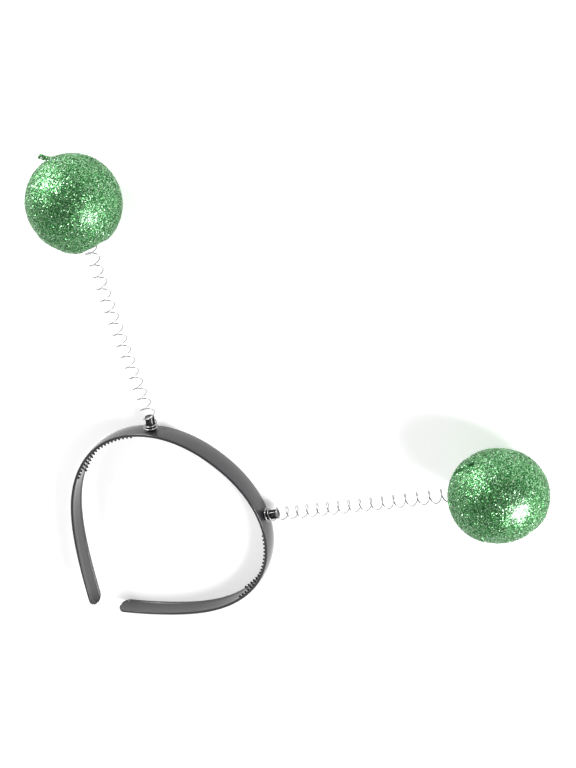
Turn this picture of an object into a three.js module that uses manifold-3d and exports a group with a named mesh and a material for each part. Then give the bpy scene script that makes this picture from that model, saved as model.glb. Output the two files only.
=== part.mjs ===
// Head bopper: an open plastic headband whose crown carries two springs, each with a glitter ball at its end.
// It lies on its side as it rests on a table: the crown and the right arm lie flat, and so do the balls.
// Lengths are millimetres, angles are degrees and +Z is up. The origin is the middle of the crown's lower
// edge, +Y points from the arms to the crown, and the left arm is the one towards -X.
import * as THREE from "three";
import { mergeVertices } from "three/addons/utils/BufferGeometryUtils.js";
import Module from "manifold-3d";

// Clearance between separate pieces.
const CLEARANCE = 0.3;

// Headband.
const ARM_LENGTH = 205; // along the band, from the middle of the crown to a tip
const ARM_TURN = 138.4; // how far an arm turns between the crown and its tip
const CROWN_WIDTH = 13.4;
const ARM_WIDTH = 11.5; // half way along an arm
const TIP_WIDTH = 12.1;
const BAND_THICKNESS = 2;
const OUTER_CROWNING = 0.7; // the outer face falls by this much from its middle to its edges
const EDGE_BEVEL = 0.25;
const RAIL_WIDTH = 1.8; // low rails along both edges of the inner face
const RAIL_HEIGHT = 0.3;
const OUTER_FACE = (BAND_THICKNESS + OUTER_CROWNING + RAIL_HEIGHT) / 2; // so the edges lie on the band's line
const INNER_FACE = OUTER_FACE - BAND_THICKNESS;
const TIP_ROUND = 5; // corner radius of the tips
const TIP_ROUND_LIMIT = 0.9; // share of half a tip's width that a corner may take
const TIP_SPREAD = 11.1; // the left tip lies this much higher than the right one
const SPREAD_START = 0.1; // share of the arm that lies flat before the left arm starts to rise

// Grip teeth, two rows inside each arm.
const TOOTH_LENGTH = 1.05;
const TOOTH_THICKNESS = 1.25;
const TOOTH_TIP = 0.8; // share of the root's thickness that is left at the tip
const TOOTH_PITCH = 2.9;
const TOOTH_INSET = 1.05; // from the band's edge to the middle of a tooth
const TOOTH_ROOT = 0.25; // how deep a tooth is rooted in its rail
const TEETH_START = 11.4; // from the middle of the peg to the first tooth
const TEETH_RUN = 56; // length of a row

// Pegs that carry the springs.
const PEG_PLACE = 43.6; // along the band, from the middle of the crown
const PEG_RADIUS = 2.85;
const PEG_HEIGHT = 8.25;
const PEG_RIBS = 8;
const PEG_GROOVE = 0.45; // depth of the grooves between the ribs
const PEG_CHAMFER = 0.7;
const FOOT_RADIUS = 2.1; // round foot that sits in a shallow seat in the band
const SEAT_DEPTH = 0.9;

// Springs. The coil is as wide as the peg needs, and its first turn lies a little wider on the band.
const WIRE_RADIUS = 0.36;
const COIL_RADIUS = PEG_RADIUS + CLEARANCE + WIRE_RADIUS;
const BASE_FLARE = 0.8;
const COIL_LIFT = 0.35; // the first turn lies this much further up the peg than the clearance asks
const CLOSE_PITCH = 1.35; // round the foot of the peg
const CLOSE_TURNS = 1;
const OPENING_TURNS = 1.2; // turns over which the close pitch becomes the open one
const PEG_REACH = 1; // the coil keeps the peg's direction this far past it
const SPRING_SPAN = 145; // from a peg to the middle of its ball, seen from above

// Balls.
const BALL_RADIUS = 25;
const SOCKET_DEPTH = 9; // how far the spring goes into the ball
const TAIL_LENGTH = 6.5; // small coated tail on the left ball
const TAIL_RADIUS = 1.05;

// How sharply the arm bends along its length, as shares of its mean bend.
const BEND = [
  { along: 0.0, bend: 1.07 },
  { along: 0.2, bend: 1.42 },
  { along: 0.4, bend: 1.55 },
  { along: 0.6, bend: 1.1 },
  { along: 0.8, bend: 0.33 },
  { along: 1.0, bend: 0.13 },
];

// How each spring lies. span, a share of SPRING_SPAN, and lean place the ball seen from the peg, lean counted
// outwards from +Y. The spring meets the ball at entryTurn, counted inwards from -Y, and entryDip below its
// middle. It leaves it the way that aimTurn and aimDip say, for ballReach, a share of SPRING_SPAN. turns
// counts the whole coil, growth is how much its open pitch grows towards the ball, and start is where the
// wire's end lies round the peg, as a share of a turn.
const SPRINGS = [
  {
    name: "left", side: -1, span: 0.975, lean: 42.9, entryTurn: 31.2, entryDip: 28.1, aimTurn: 18.7,
    aimDip: 21.3, ballReach: 0.158, turns: 19.76, growth: 0.15, start: 0.383,
  },
  {
    name: "right", side: 1, span: 0.992, lean: 35.2, entryTurn: 37.7, entryDip: 16.5, aimTurn: 25.7,
    aimDip: 7.5, ballReach: 0.05, turns: 19.57, growth: 0.1, start: 0.081,
  },
];

// The outline of one rib of the peg: turn is a share of half a rib's spacing, depth one of PEG_GROOVE.
const RIB = [
  { turn: -0.5, depth: 0 },
  { turn: 0.35, depth: 0 },
  { turn: 0.55, depth: 1 },
  { turn: 1.3, depth: 1 },
];

// The tail's root on the left ball and the way that it points, as directions from the ball's middle.
const TAIL = { rootTurn: 157, rootRise: -11, aimTurn: 212.5, aimRise: 12 };

// Fineness of the facets.
const LINE_STEPS = 400;
const ARM_SECTIONS = 30;
const TIP_SECTIONS = 4;
const WIRE_SIDES = 5;
const TURN_STEPS = 11;
const BALL_SIDES = 24;
const BALL_RINGS = 16;
const ROUND_SIDES = 16;
const TAIL_SIDES = 7;
const TAIL_STEPS = 6;
const WELD_DISTANCE = 1e-4; // points nearer than this are one

const wasm = await Module();
wasm.setup();

const UP = new THREE.Vector3(0, 0, 1);
const radians = THREE.MathUtils.degToRad;

const MATERIALS = {
  band: new THREE.MeshStandardMaterial({ color: 0x3c3c3f, roughness: 0.42, metalness: 0 }),
  peg: new THREE.MeshStandardMaterial({ color: 0x141416, roughness: 0.5, metalness: 0 }),
  wire: new THREE.MeshStandardMaterial({ color: 0xd6d8da, roughness: 0.2, metalness: 1 }),
  glitter: new THREE.MeshStandardMaterial({ color: 0x5fae68, roughness: 0.35, metalness: 0.7 }),
};

// The middle line of the right arm, seen from above: its points and headings at even steps.
function middleLine() {
  const bendAt = (share) => {
    const i = Math.max(1, BEND.findIndex((row) => row.along >= share));
    const [a, b] = [BEND[i - 1], BEND[i]];
    return THREE.MathUtils.mapLinear(share, a.along, b.along, a.bend, b.bend);
  };
  const bends = [];
  for (let i = 0; i < LINE_STEPS; i += 1) bends.push(bendAt((i + 0.5) / LINE_STEPS));
  const whole = bends.reduce((sum, bend) => sum + bend, 0);
  const step = ARM_LENGTH / LINE_STEPS;
  const line = [{ x: 0, y: 0, heading: 0 }];
  for (const bend of bends) {
    const last = line[line.length - 1];
    const turn = (radians(ARM_TURN) * bend) / whole;
    const middle = last.heading + turn / 2;
    line.push({
      x: last.x + step * Math.cos(middle),
      y: last.y - step * Math.sin(middle),
      heading: last.heading + turn,
    });
  }
  return line;
}

const LINE = middleLine();

function bandWidth(share) {
  return share < 0.5
    ? THREE.MathUtils.lerp(CROWN_WIDTH, ARM_WIDTH, share * 2)
    : THREE.MathUtils.lerp(ARM_WIDTH, TIP_WIDTH, share * 2 - 1);
}

// A frame on the band's middle line: along runs to the tip, across to the upper edge, out to the outer face.
function bandFrame(side, share) {
  const at = THREE.MathUtils.clamp(share, 0, 1) * LINE_STEPS;
  const i = Math.min(Math.floor(at), LINE_STEPS - 1);
  const part = at - i;
  const [a, b] = [LINE[i], LINE[i + 1]];
  const heading = THREE.MathUtils.lerp(a.heading, b.heading, part);
  const risen = side < 0 ? Math.max(0, (share - SPREAD_START) / (1 - SPREAD_START)) : 0;
  const rise = TIP_SPREAD * risen ** 2;
  const slope = (2 * TIP_SPREAD * risen) / ((1 - SPREAD_START) * ARM_LENGTH);
  const along = new THREE.Vector3(side * Math.cos(heading), -Math.sin(heading), slope).normalize();
  const out = new THREE.Vector3(side * Math.sin(heading), Math.cos(heading), 0);
  const across = UP.clone().addScaledVector(along, -UP.dot(along)).normalize();
  const origin = new THREE.Vector3(
    side * THREE.MathUtils.lerp(a.x, b.x, part),
    THREE.MathUtils.lerp(a.y, b.y, part),
    rise,
  ).addScaledVector(across, bandWidth(share) / 2);
  return { origin, along, across, out };
}

function place(frame, across, out, along = 0) {
  return frame.origin
    .clone()
    .addScaledVector(frame.across, across)
    .addScaledVector(frame.out, out)
    .addScaledVector(frame.along, along);
}

// The band's cross-section at full width, as [across, out] pairs going round it once.
function bandSection(width) {
  const edge = width / 2;
  const flat = edge - EDGE_BEVEL;
  const rim = INNER_FACE - RAIL_HEIGHT;
  const face = [-1, -0.5, 0, 0.5, 1].map((k) => [k * flat, OUTER_FACE - OUTER_CROWNING * k * k]);
  return [
    ...face,
    [edge, OUTER_FACE - OUTER_CROWNING - EDGE_BEVEL],
    [edge, rim + EDGE_BEVEL],
    [flat, rim],
    [edge - RAIL_WIDTH, rim],
    [edge - RAIL_WIDTH - RAIL_HEIGHT, INNER_FACE],
    [RAIL_WIDTH + RAIL_HEIGHT - edge, INNER_FACE],
    [RAIL_WIDTH - edge, rim],
    [-flat, rim],
    [-edge, rim + EDGE_BEVEL],
    [-edge, OUTER_FACE - OUTER_CROWNING - EDGE_BEVEL],
  ];
}

// Stations from the left tip to the right one. squeeze narrows the section where a tip is rounded.
function bandStations() {
  const round = Math.min(TIP_ROUND, TIP_ROUND_LIMIT * (TIP_WIDTH / 2));
  const arm = [];
  for (let i = 0; i <= ARM_SECTIONS; i += 1) {
    arm.push({ share: (i / ARM_SECTIONS) * (1 - round / ARM_LENGTH), squeeze: 1 });
  }
  for (let i = 1; i <= TIP_SECTIONS; i += 1) {
    const turn = (Math.PI / 2) * (i / TIP_SECTIONS);
    const narrowed = TIP_WIDTH / 2 - round * (1 - Math.cos(turn));
    arm.push({
      share: 1 - (round * (1 - Math.sin(turn))) / ARM_LENGTH,
      squeeze: narrowed / (TIP_WIDTH / 2),
    });
  }
  const left = arm.slice(1).reverse().map((station) => ({ ...station, side: -1 }));
  return [...left, ...arm.map((station) => ({ ...station, side: 1 }))];
}

// A closed body through rings of points, each ring going round the same way, with both ends capped.
function loft(rings, cap) {
  const count = rings[0].length;
  const faces = [];
  for (let i = 0; i + 1 < rings.length; i += 1) {
    for (let j = 0; j < count; j += 1) {
      const [a, b] = [i * count + j, i * count + ((j + 1) % count)];
      faces.push([a, b, a + count], [b, b + count, a + count]);
    }
  }
  const end = (rings.length - 1) * count;
  for (const [a, b, c] of cap) faces.push([a, b, c], [end + a, end + c, end + b]);
  const geometry = new THREE.BufferGeometry();
  geometry.setAttribute(
    "position",
    new THREE.Float32BufferAttribute(rings.flat().flatMap((p) => [p.x, p.y, p.z]), 3),
  );
  geometry.setIndex(faces.flat());
  return geometry;
}

function toSolid(geometry) {
  const bare = geometry.clone();
  bare.deleteAttribute("normal");
  bare.deleteAttribute("uv");
  const merged = mergeVertices(bare, WELD_DISTANCE);
  return new wasm.Manifold(
    new wasm.Mesh({
      numProp: 3,
      vertProperties: merged.getAttribute("position").array,
      triVerts: new Uint32Array(merged.index.array),
    }),
  );
}

function toGeometry(solid) {
  const mesh = solid.getMesh();
  const geometry = new THREE.BufferGeometry();
  geometry.setAttribute("position", new THREE.BufferAttribute(mesh.vertProperties, 3));
  geometry.setIndex(new THREE.BufferAttribute(mesh.triVerts, 1));
  return geometry;
}

// Turns a geometry made along +Z so that it stands at a point and runs along a direction.
function stand(geometry, point, direction) {
  const turn = new THREE.Quaternion().setFromUnitVectors(UP, direction);
  return geometry.applyQuaternion(turn).translate(point.x, point.y, point.z);
}

// A cylinder along +Z from z = 0, whose flats keep the radius clear inside it.
function bore(radius, length) {
  const clear = radius / Math.cos(Math.PI / ROUND_SIDES);
  return new THREE.CylinderGeometry(clear, clear, length, ROUND_SIDES)
    .rotateX(Math.PI / 2)
    .translate(0, 0, length / 2);
}

function bandBody() {
  const rings = bandStations().map(({ side, share, squeeze }) => {
    const frame = bandFrame(side, share);
    return bandSection(bandWidth(share)).map(([across, out]) => place(frame, across * squeeze, out));
  });
  const outline = bandSection(TIP_WIDTH).map(([across, out]) => new THREE.Vector2(across, out));
  return loft(rings, THREE.ShapeUtils.triangulateShape(outline, []));
}

// One tapered tooth that points inwards from a rail.
function tooth(side, share, row) {
  const frame = bandFrame(side, share);
  const middle = row * (bandWidth(share) / 2 - TOOTH_INSET);
  const root = INNER_FACE - RAIL_HEIGHT;
  const levels = [
    { out: root + TOOTH_ROOT, half: TOOTH_THICKNESS / 2 },
    { out: root - TOOTH_LENGTH, half: (TOOTH_THICKNESS * TOOTH_TIP) / 2 },
  ];
  const corners = [[-1, -1], [1, -1], [1, 1], [-1, 1]];
  const rings = levels.map(({ out, half }) =>
    corners.map(([a, b]) => place(frame, middle + b * half, out, a * half * side)));
  return loft(rings, [[0, 2, 1], [0, 3, 2]]);
}

function headband() {
  let body = toSolid(bandBody());
  const count = Math.floor(TEETH_RUN / TOOTH_PITCH) + 1;
  for (const side of [-1, 1]) {
    for (const row of [-1, 1]) {
      for (let i = 0; i < count; i += 1) {
        const along = PEG_PLACE + TEETH_START + i * TOOTH_PITCH;
        body = body.add(toSolid(tooth(side, along / ARM_LENGTH, row)));
      }
    }
    const frame = pegFrame(side);
    const seat = stand(
      bore(FOOT_RADIUS + CLEARANCE, SEAT_DEPTH + OUTER_CROWNING),
      place(frame, 0, OUTER_FACE - SEAT_DEPTH),
      frame.out,
    );
    body = body.subtract(toSolid(seat));
  }
  return toGeometry(body);
}

function pegFrame(side) {
  return bandFrame(side, PEG_PLACE / ARM_LENGTH);
}

// A ribbed peg along +Z. z = 0 is the band's outer face.
function peg() {
  const points = [];
  for (let i = 0; i < PEG_RIBS; i += 1) {
    for (const { turn, depth } of RIB) {
      const angle = (Math.PI * (2 * i + turn)) / PEG_RIBS;
      const radius = PEG_RADIUS - depth * PEG_GROOVE;
      points.push(new THREE.Vector2(radius * Math.cos(angle), radius * Math.sin(angle)));
    }
  }
  const outline = new THREE.Shape(points);
  const height = PEG_HEIGHT - CLEARANCE;
  const ribbed = new THREE.ExtrudeGeometry(outline, { depth: height, bevelEnabled: false })
    .translate(0, 0, CLEARANCE);
  const wide = PEG_RADIUS + PEG_CHAMFER; // the envelope only cuts the top edge
  const profile = [
    [0, 0], [wide, 0], [wide, PEG_HEIGHT - 2 * PEG_CHAMFER], [PEG_RADIUS - PEG_CHAMFER, PEG_HEIGHT],
    [0, PEG_HEIGHT],
  ].map(([x, y]) => new THREE.Vector2(x, y));
  const envelope = new THREE.LatheGeometry(profile, ROUND_SIDES).rotateX(Math.PI / 2);
  const rooted = 2 * CLEARANCE; // the foot reaches this far up into the peg
  const footBottom = CLEARANCE - SEAT_DEPTH;
  const foot = new THREE.CylinderGeometry(FOOT_RADIUS, FOOT_RADIUS, rooted - footBottom, ROUND_SIDES)
    .rotateX(Math.PI / 2)
    .translate(0, 0, (rooted + footBottom) / 2);
  return toGeometry(toSolid(ribbed).intersect(toSolid(envelope)).add(toSolid(foot)));
}

// A direction from a turn round +Z, counted inwards from -Y, and a dip below the level.
function inward(side, turn, dip) {
  const [a, b] = [radians(turn), radians(dip)];
  return new THREE.Vector3(-side * Math.sin(a) * Math.cos(b), -Math.cos(a) * Math.cos(b), -Math.sin(b));
}

function pegPoint(side) {
  return place(pegFrame(side), 0, OUTER_FACE);
}

function ballCentre({ side, span, lean }) {
  const foot = pegPoint(side);
  const angle = radians(lean);
  const reach = span * SPRING_SPAN;
  return new THREE.Vector3(
    foot.x + side * reach * Math.sin(angle),
    foot.y + reach * Math.cos(angle),
    BALL_RADIUS,
  );
}

// Where the spring meets the ball, and the way that it points out of it.
function ballEntry(spring) {
  const point = ballCentre(spring)
    .addScaledVector(inward(spring.side, spring.entryTurn, spring.entryDip), BALL_RADIUS);
  return { point, aim: inward(spring.side, spring.aimTurn, spring.aimDip) };
}

// The middle line of a spring: straight up the peg, in one curve to the ball, and straight into it.
function springRoute(spring) {
  const { out } = pegFrame(spring.side);
  const foot = pegPoint(spring.side).addScaledVector(out, CLEARANCE + WIRE_RADIUS + COIL_LIFT);
  const top = foot.clone().addScaledVector(out, PEG_HEIGHT - COIL_LIFT);
  const { point, aim } = ballEntry(spring);
  const route = new THREE.CurvePath();
  route.add(new THREE.LineCurve3(foot, top));
  route.add(new THREE.CubicBezierCurve3(
    top,
    top.clone().addScaledVector(out, PEG_REACH),
    point.clone().addScaledVector(aim, spring.ballReach * SPRING_SPAN),
    point,
  ));
  const end = point.clone().addScaledVector(aim, -(SOCKET_DEPTH - WIRE_RADIUS - CLEARANCE));
  route.add(new THREE.LineCurve3(point, end));
  return route;
}

// The coil round a route. Its pitch grows from the close one to the open one that the route's length gives.
class Coil extends THREE.Curve {
  constructor(spring) {
    super();
    this.spring = spring;
    this.route = springRoute(spring);
    this.length = this.route.getLength();
    this.steps = Math.round(spring.turns * TURN_STEPS);
    this.arcLengthDivisions = this.steps * 4;
    const opened = (turn) => THREE.MathUtils.smoothstep(turn, CLOSE_TURNS, CLOSE_TURNS + OPENING_TURNS)
      * (1 + spring.growth * (turn / spring.turns - 0.5));
    this.opening = [0];
    for (let i = 0; i < this.arcLengthDivisions; i += 1) {
      const turn = ((i + 0.5) / this.arcLengthDivisions) * spring.turns;
      this.opening.push(this.opening[i] + opened(turn));
    }
  }

  // The share of the route that the wire has climbed at a share of its turns.
  climbed(share) {
    const at = share * this.arcLengthDivisions;
    const i = Math.min(Math.floor(at), this.arcLengthDivisions - 1);
    const opening = THREE.MathUtils.lerp(this.opening[i], this.opening[i + 1], at - i);
    const close = (CLOSE_PITCH * this.spring.turns) / this.length;
    return close * share + (1 - close) * (opening / this.opening[this.arcLengthDivisions]);
  }

  getPoint(share) {
    const climbed = THREE.MathUtils.clamp(this.climbed(share), 0, 1);
    const middle = this.route.getPoint(climbed);
    const along = this.route.getTangent(climbed);
    const level = new THREE.Vector3().crossVectors(along, UP).normalize();
    const rising = new THREE.Vector3().crossVectors(along, level);
    const turn = share * this.spring.turns;
    const angle = 2 * Math.PI * (this.spring.start + turn);
    const radius = COIL_RADIUS + BASE_FLARE * Math.max(0, 1 - turn);
    return middle
      .addScaledVector(level, radius * Math.cos(angle))
      .addScaledVector(rising, radius * Math.sin(angle));
  }
}

function circle(radius, sides) {
  const points = [];
  for (let i = 0; i < sides; i += 1) {
    const angle = (2 * Math.PI * i) / sides;
    points.push(new THREE.Vector2(radius * Math.cos(angle), radius * Math.sin(angle)));
  }
  return new THREE.Shape(points);
}

function springCoil(spring) {
  const coil = new Coil(spring);
  return new THREE.ExtrudeGeometry(circle(WIRE_RADIUS, WIRE_SIDES), {
    steps: coil.steps,
    bevelEnabled: false,
    extrudePath: coil,
  });
}

function polar(turn, rise) {
  const [a, b] = [radians(turn), radians(rise)];
  return new THREE.Vector3(Math.cos(a) * Math.cos(b), Math.sin(a) * Math.cos(b), Math.sin(b));
}

// The small bent tail on the left ball, rooted a little inside it.
function tail(centre) {
  const root = polar(TAIL.rootTurn, TAIL.rootRise);
  const aim = polar(TAIL.aimTurn, TAIL.aimRise);
  const start = centre.clone().addScaledVector(root, BALL_RADIUS - 2 * TAIL_RADIUS);
  const bend = centre.clone().addScaledVector(root, BALL_RADIUS + TAIL_RADIUS / 2);
  const path = new THREE.QuadraticBezierCurve3(
    start, bend, bend.clone().addScaledVector(aim, TAIL_LENGTH));
  return new THREE.ExtrudeGeometry(circle(TAIL_RADIUS, TAIL_SIDES), {
    steps: TAIL_STEPS,
    bevelEnabled: false,
    extrudePath: path,
  });
}

function ball(spring) {
  const centre = ballCentre(spring);
  const sphere = new THREE.SphereGeometry(BALL_RADIUS, BALL_SIDES, BALL_RINGS)
    .rotateX(Math.PI / 2)
    .translate(centre.x, centre.y, centre.z);
  const { point, aim } = ballEntry(spring);
  const wide = COIL_RADIUS + WIRE_RADIUS + CLEARANCE;
  const socket = stand(
    bore(wide, SOCKET_DEPTH + BALL_RADIUS / 2),
    point.clone().addScaledVector(aim, -SOCKET_DEPTH),
    aim,
  );
  let solid = toSolid(sphere);
  if (spring.side < 0) solid = solid.add(toSolid(tail(centre)));
  return toGeometry(solid.subtract(toSolid(socket)));
}

const headBopper = new THREE.Group();

function addPiece(name, geometry, material) {
  const mesh = new THREE.Mesh(geometry, material);
  mesh.name = name;
  headBopper.add(mesh);
  return mesh;
}

addPiece("headband", headband(), MATERIALS.band);
for (const spring of SPRINGS) {
  const frame = pegFrame(spring.side);
  const pegPiece = addPiece(`peg_${spring.name}`, peg(), MATERIALS.peg);
  pegPiece.position.copy(pegPoint(spring.side));
  pegPiece.quaternion.setFromUnitVectors(UP, frame.out);
  addPiece(`spring_${spring.name}`, springCoil(spring), MATERIALS.wire);
  addPiece(`ball_${spring.name}`, ball(spring), MATERIALS.glitter);
}

export default headBopper;
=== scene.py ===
"""Head bopper: a plastic headband with two springs that carry glitter balls, lying on a white table.

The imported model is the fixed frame. Each operator models one piece, or a group of like pieces, round it.
Lengths are metres.
"""

import math

import bmesh
import bpy
import numpy as np
from bpy.props import FloatProperty, FloatVectorProperty, IntProperty, PointerProperty
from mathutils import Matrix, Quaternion, Vector


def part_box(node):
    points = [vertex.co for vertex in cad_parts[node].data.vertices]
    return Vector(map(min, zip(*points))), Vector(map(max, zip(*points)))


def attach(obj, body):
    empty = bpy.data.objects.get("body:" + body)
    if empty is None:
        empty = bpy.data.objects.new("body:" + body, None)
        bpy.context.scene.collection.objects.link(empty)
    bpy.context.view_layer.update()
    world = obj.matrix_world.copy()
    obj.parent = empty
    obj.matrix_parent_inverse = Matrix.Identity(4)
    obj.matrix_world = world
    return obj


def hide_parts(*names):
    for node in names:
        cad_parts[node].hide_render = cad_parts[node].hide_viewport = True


bl_info = {
    "name": "Head Bopper",
    "version": (1, 0, 0),
    "blender": (4, 5, 0),
    "location": "View3D > Sidebar > Head Bopper",
    "description": "Models a headband with two springs and glitter balls round its packed frame",
    "category": "Add Mesh",
}

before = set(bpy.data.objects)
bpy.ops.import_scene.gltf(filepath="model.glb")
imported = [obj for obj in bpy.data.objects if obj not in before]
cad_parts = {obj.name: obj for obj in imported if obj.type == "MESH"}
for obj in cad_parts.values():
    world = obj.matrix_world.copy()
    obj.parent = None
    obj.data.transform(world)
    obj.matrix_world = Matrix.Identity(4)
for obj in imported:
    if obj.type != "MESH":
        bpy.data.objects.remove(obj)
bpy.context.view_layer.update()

MM = 0.001
UP = Vector((0, 0, 1))
BODY = "root"

# How sharply an arm bends: shares of its length, and shares of its mean bend there.
BEND_ALONG = (0.0, 0.2, 0.4, 0.6, 0.8, 1.0)
BEND_SHARE = (1.07, 1.42, 1.55, 1.1, 0.33, 0.13)
LINE_STEPS = 400

# Fineness of the band's bar, of its rounded tips, of a spring's route and of a turn of wire.
SLICES = 168
COLUMNS = 8
TIP_STEPS = 9
ROUTE_STEPS = 600
TURN_POINTS = 26

# A tooth's tip as a share of its root, and the bevel of its edges.
TOOTH_TIP = 0.7
TOOTH_BEVEL = 0.13 * MM

# The top of a peg: the width of its rim, the depth of its hollow, and the rounding of the edges all over it.
PEG_RIM = 0.9 * MM
PEG_HOLLOW = 0.35 * MM
PEG_ROUNDING = 0.16 * MM

# Turns of a coil that stay close round the peg, and turns over which the pitch opens.
CLOSE_TURNS = 1
OPENING_TURNS = 1.2

# Share of its radius that a wire keeps at its ends.
WIRE_END = 0.55

# How each spring lies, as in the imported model: angles in degrees, ball_reach as a share of the span, and
# start as a share of a turn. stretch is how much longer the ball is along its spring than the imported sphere.
SPRINGS = (
    {"name": "left", "side": -1, "entry_turn": 31.2, "entry_dip": 28.1, "aim_turn": 18.7, "aim_dip": 21.3,
     "ball_reach": 0.158, "turns": 19.76, "growth": 0.15, "start": 0.383, "stretch": 1.012},
    {"name": "right", "side": 1, "entry_turn": 37.7, "entry_dip": 16.5, "aim_turn": 25.7, "aim_dip": 7.5,
     "ball_reach": 0.05, "turns": 19.57, "growth": 0.1, "start": 0.081, "stretch": 1.032},
)

# Marks on the balls, as turns from +X and rises in degrees, seen from the ball's middle. A dent has a reach
# and a depth in millimetres, and a negative depth makes it a bulge. A glue patch ends with its strength: it
# is whole within the angle GLUE_FULL of its middle, and gone past GLUE_FADE.
TAIL_ROOT = (157, -11)
TAIL_AIM = (212.5, 12)
DENTS = {
    "left": ((-29, 5, 6.0, 0.8), (-46, 17, 9.0, -0.5), (-68, 28, 12.0, -0.4)),
    "right": ((143, -25, 14.0, 0.3), (-28, 31, 14.0, 0.5), (38, -5, 12.0, -0.35)),
}
GLUE_PATCH = {"left": (34.3, 44.2, 0.25), "right": (64, 56, 1.0)}
GLUE_FULL = math.radians(12)
GLUE_FADE = math.radians(22)

# The crease of the right ball runs through its points. It is cut in steps, each with a reach to both sides
# and a depth in millimetres, and the first step raises its lip. No flakes lie within BARE_CREASE of it, so the
# darker base coat shows there as painted shade along the groove.
CREASES = {"left": (), "right": ((-171.7, 7), (172.9, 12.2), (157.1, 13.8))}
CREASE_POINTS = 12
CREASE_STEPS = ((2.2, -0.25), (1.25, 0.55), (0.8, 0.75))
BARE_CREASE = 1.15 * MM

# The hollow where a wire goes into its ball: the reaches, in millimetres, and the depth of each press. After
# any press the surface is smoothed as far as its reach times SMOOTH_REACH.
HOLLOW_REACHES = (7, 5.5, 4)
HOLLOW_PRESS = 0.45 * MM
SMOOTH_REACH = 1.25

# The foam's lumps: their spacing, and the cloud value at which the surface stays where it was.
LUMP_SPACING = 14 * MM
LUMP_LEVEL = 0.62

# Glitter flakes: their sides, the shares of the given radius that they have, how high they lie in their
# layer, and the share of the coat's thickness that this layer fills.
FLAKE_SIDES = 6
FLAKE_SPREAD = (0.75, 1.2)
FLAKE_HEIGHTS = (0.15, 1.0)
FLAKE_LAYER = 0.8


def size(name, default_mm, text):
    """A length property that is given in millimetres."""
    return FloatProperty(
        name=name, description=text, default=default_mm * MM, min=0, unit="LENGTH", precision=5)


def colour(name, default, text):
    """A colour property that is given in linear red, green and blue."""
    return FloatVectorProperty(
        name=name, description=text, default=default, size=3, min=0, max=1, subtype="COLOR")


class BandSettings(bpy.types.PropertyGroup):
    """Sizes and finish of the headband and its grip teeth."""

    arm_length: size("Arm length", 205, "From the middle of the crown to a tip, along the band")
    arm_turn: FloatProperty(
        name="Arm turn", description="How far an arm turns between the crown and its tip",
        default=math.radians(138.4), subtype="ANGLE")
    crown_width: size("Crown width", 13.4, "Width at the middle of the crown")
    arm_width: size("Arm width", 11.5, "Width half way along an arm")
    tip_width: size("Tip width", 12.1, "Width at the tips")
    thickness: size("Thickness", 2, "Thickness at the middle of the section")
    outer_face: size("Outer face", 1.5, "From the band's line to the middle of its outer face")
    crowning: size("Crowning", 0.7, "How far the outer face falls towards its edges")
    edge_round: size("Edge rounding", 0.3, "Radius of the long edges")
    rail_width: size("Rail width", 1.8, "Width of the low rails inside the edges")
    rail_height: size("Rail height", 0.3, "Height of the rails")
    tip_round: size("Tip rounding", 5, "Corner radius of the tips")
    tip_spread: size("Tip spread", 11.1, "How much higher the left tip lies")
    spread_start: FloatProperty(
        name="Spread start", description="Share of the left arm that lies flat",
        default=0.1, subtype="FACTOR")
    tooth_length: size("Tooth length", 1.05, "How far a grip tooth stands out of its rail")
    tooth_thickness: size("Tooth thickness", 1.25, "Thickness of a tooth at its root")
    tooth_pitch: size("Tooth pitch", 2.9, "Spacing of the teeth")
    tooth_inset: size("Tooth inset", 1.05, "From the band's edge to the middle of a tooth")
    teeth_start: size("Teeth start", 11.4, "From the middle of the peg to the first tooth")
    teeth_run: size("Teeth run", 56, "Length of a row of teeth")
    tint: colour("Band colour", (0.026, 0.026, 0.028), "Colour of the band's plastic")


class PegSettings(bpy.types.PropertyGroup):
    """Sizes and finish of the pegs that carry the springs."""

    place: size("Place", 43.6, "Along the band, from the middle of the crown")
    radius: size("Radius", 2.85, "Radius over the ribs")
    height: size("Height", 8.25, "Height above the band")
    ribs: IntProperty(name="Ribs", description="Number of ribs round a peg", default=8, min=3)
    groove: size("Groove depth", 0.75, "Depth of the grooves between the ribs")
    tint: colour("Peg colour", (0.012, 0.012, 0.013), "Colour of the pegs' plastic")


class SpringSettings(bpy.types.PropertyGroup):
    """Sizes and finish of the springs."""

    wire_radius: size("Wire radius", 0.36, "Radius of the wire")
    clearance: size("Clearance", 0.3, "Between the coil and its peg")
    base_flare: size("Base flare", 0.8, "How much wider the first turn lies")
    coil_lift: size("Coil lift", 0.35, "How much further up the peg the first turn lies")
    close_pitch: size("Close pitch", 1.35, "Pitch round the foot of the peg")
    peg_reach: size("Peg reach", 1, "How far past the peg the coil keeps its direction")
    span: size("Span", 145, "From a peg to the middle of its ball, seen from above")
    socket_depth: size("Depth in ball", 9, "How far the spring goes into the ball")
    tint: colour("Wire colour", (0.4, 0.4, 0.41), "Colour of the wire")


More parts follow.
